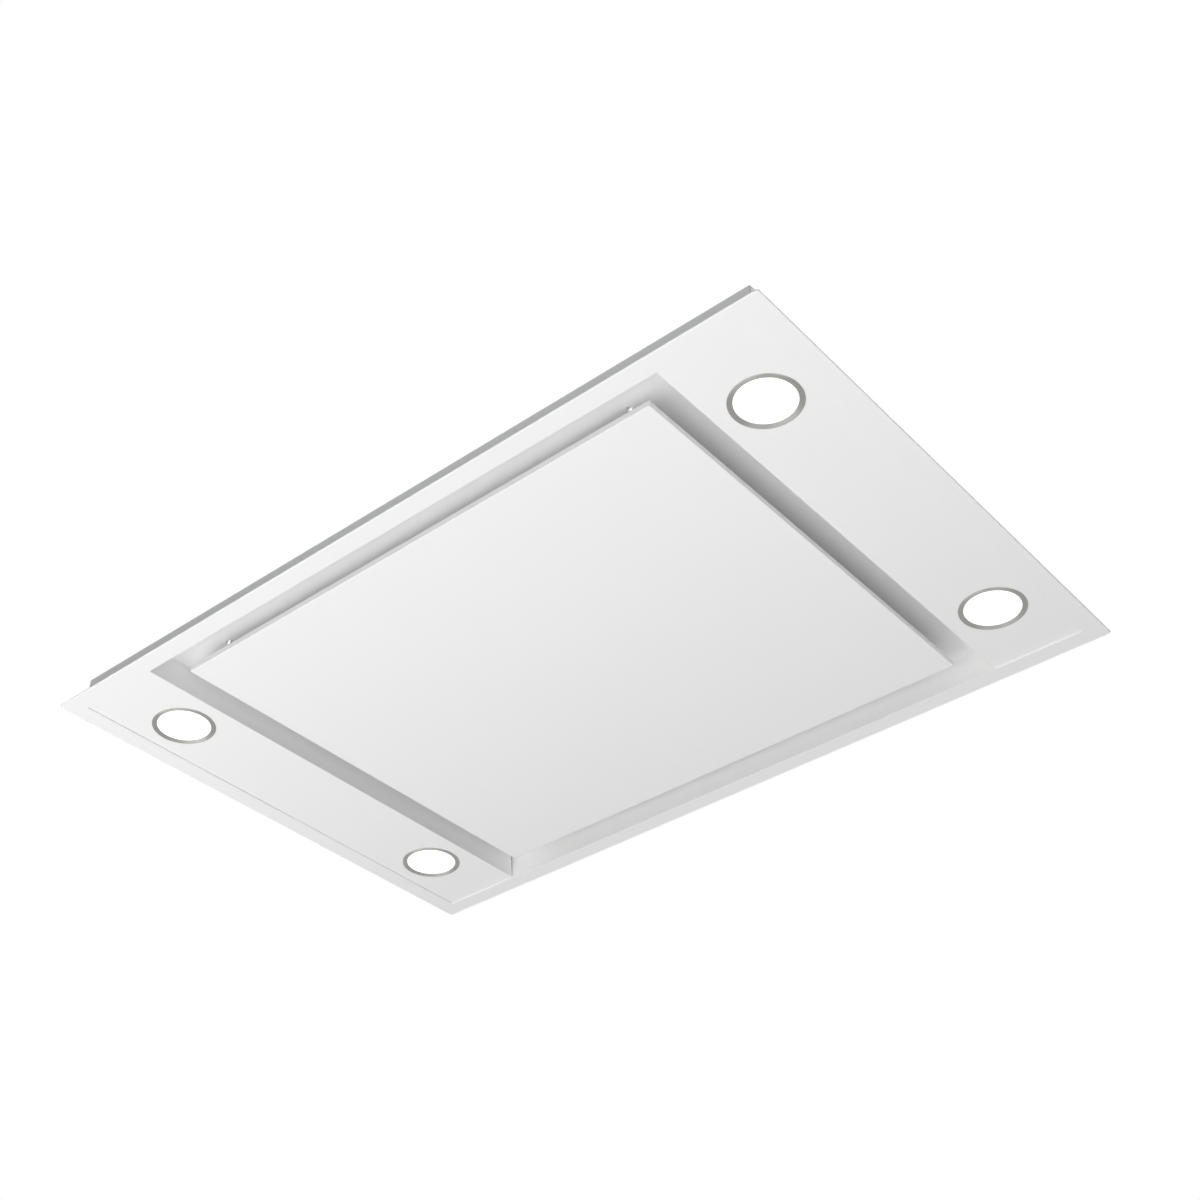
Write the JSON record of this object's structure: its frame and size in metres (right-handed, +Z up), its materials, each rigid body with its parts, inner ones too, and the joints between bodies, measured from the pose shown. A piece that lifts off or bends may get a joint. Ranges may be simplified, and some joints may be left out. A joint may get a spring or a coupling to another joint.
{
  "type": "ceiling range hood",
  "caption": "Recessed ceiling range hood with perimeter suction: white border, drop-down suction panel, corner lamps, grease filters and a blower in a flat housing above.",
  "frame": {"origin": "middle of the border's lower face, which is the lowest plane of the hood", "axes": "+X along the long side, to the right seen from the near edge; +Y from the near edge to the far, hinged edge; +Z up into the ceiling"},
  "size_m": [0.9, 0.6, 0.2],
  "materials": {
    "white_paint": "satin",
    "galvanised": "satin",
    "zinc_steel": "satin",
    "lamp_ring": "brushed",
    "opal_lens": "matte",
    "cast_aluminium": "matte",
    "filter_aluminium": "satin",
    "spring_steel": "satin",
    "white_plastic": "matte",
    "grey_plastic": "matte",
    "black_plastic": "matte",
    "rubber_bush": "matte",
    "circuit_board": "satin",
    "lead_jacket": "matte"
  },
  "bodies": {
    "casing": {"border_frame": "white_paint", "lower_casing": "galvanised", "filter_deck": "white_paint", "hinge_pins": "zinc_steel", "lamp_shelf_left": "white_paint", "lamp_shelf_right": "white_paint", "lamp_ring_1": "lamp_ring", "lamp_ring_2": "lamp_ring", "lamp_ring_3": "lamp_ring", "lamp_ring_4": "lamp_ring", "lamp_lens_1": "opal_lens", "lamp_lens_2": "opal_lens", "lamp_lens_3": "opal_lens", "lamp_lens_4": "opal_lens", "lamp_body_1": "cast_aluminium", "lamp_body_2": "cast_aluminium", "lamp_body_3": "cast_aluminium", "lamp_body_4": "cast_aluminium", "lamp_clips": "spring_steel", "hinge_bracket_left": "zinc_steel", "hinge_bracket_right": "zinc_steel", "catch_post_left": "white_plastic", "catch_post_right": "white_plastic", "filter_frame_left": "filter_aluminium", "filter_frame_right": "filter_aluminium", "filter_mesh_left": "filter_aluminium", "filter_mesh_right": "filter_aluminium", "hanger_bracket_1": "galvanised", "hanger_bracket_2": "galvanised", "hanger_bracket_3": "galvanised", "hanger_bracket_4": "galvanised", "motor_housing": "galvanised", "blower_scroll": "galvanised", "inlet_ring": "black_plastic", "motor": "cast_aluminium", "motor_bushes": "rubber_bush", "outlet_collar": "black_plastic", "flap_pin": "zinc_steel", "control_box": "galvanised", "control_lid": "galvanised", "control_board": "circuit_board", "terminal_block": "white_plastic", "cable_gland": "black_plastic", "led_driver": "white_plastic", "screws": "zinc_steel", "lamp_leads": "lead_jacket", "power_leads": "lead_jacket"},
    "panel": {"suction_panel": "white_paint", "panel_rail_left": "galvanised", "panel_rail_right": "galvanised", "hinge_ear_left": "zinc_steel", "hinge_ear_right": "zinc_steel", "catch_clip_left": "grey_plastic", "catch_clip_right": "grey_plastic"},
    "wheel": {"impeller": "black_plastic", "motor_shaft": "zinc_steel"},
    "flap_left": {"flap_left": "grey_plastic"},
    "flap_right": {"flap_right": "grey_plastic"},
    "latch_left": {"filter_latch_left": "grey_plastic"},
    "latch_right": {"filter_latch_right": "grey_plastic"}
  },
  "joints": [
    {"name": "panel_hinge", "type": "hinge", "parent": "casing", "child": "panel", "pos_m": [0, 0.243, 0.018], "axis": [1, 0, 0], "range_deg": [0, 90]},
    {"name": "impeller_spin", "type": "hinge", "parent": "casing", "child": "wheel", "pos_m": [-0.142, 0.026, 0.1], "axis": [0, 0, 1], "continuous": true},
    {"name": "flap_left_hinge", "type": "hinge", "parent": "casing", "child": "flap_left", "pos_m": [0, 0.164, 0.113], "axis": [0, 0, -1], "range_deg": [0, 75], "stiffness_Nm_per_rad": 0.02, "springref_deg": -5.73},
    {"name": "flap_right_hinge", "type": "hinge", "parent": "casing", "child": "flap_right", "pos_m": [0, 0.164, 0.113], "axis": [0, 0, 1], "range_deg": [0, 75], "stiffness_Nm_per_rad": 0.02, "springref_deg": -5.73},
    {"name": "latch_left_slide", "type": "slide", "parent": "casing", "child": "latch_left", "axis": [0, 1, 0], "range_m": [0, 0.0065], "stiffness_N_per_m": 300, "springref_m": -0.004},
    {"name": "latch_right_slide", "type": "slide", "parent": "casing", "child": "latch_right", "axis": [0, 1, 0], "range_m": [0, 0.0065], "stiffness_N_per_m": 300, "springref_m": -0.004}
  ]
}
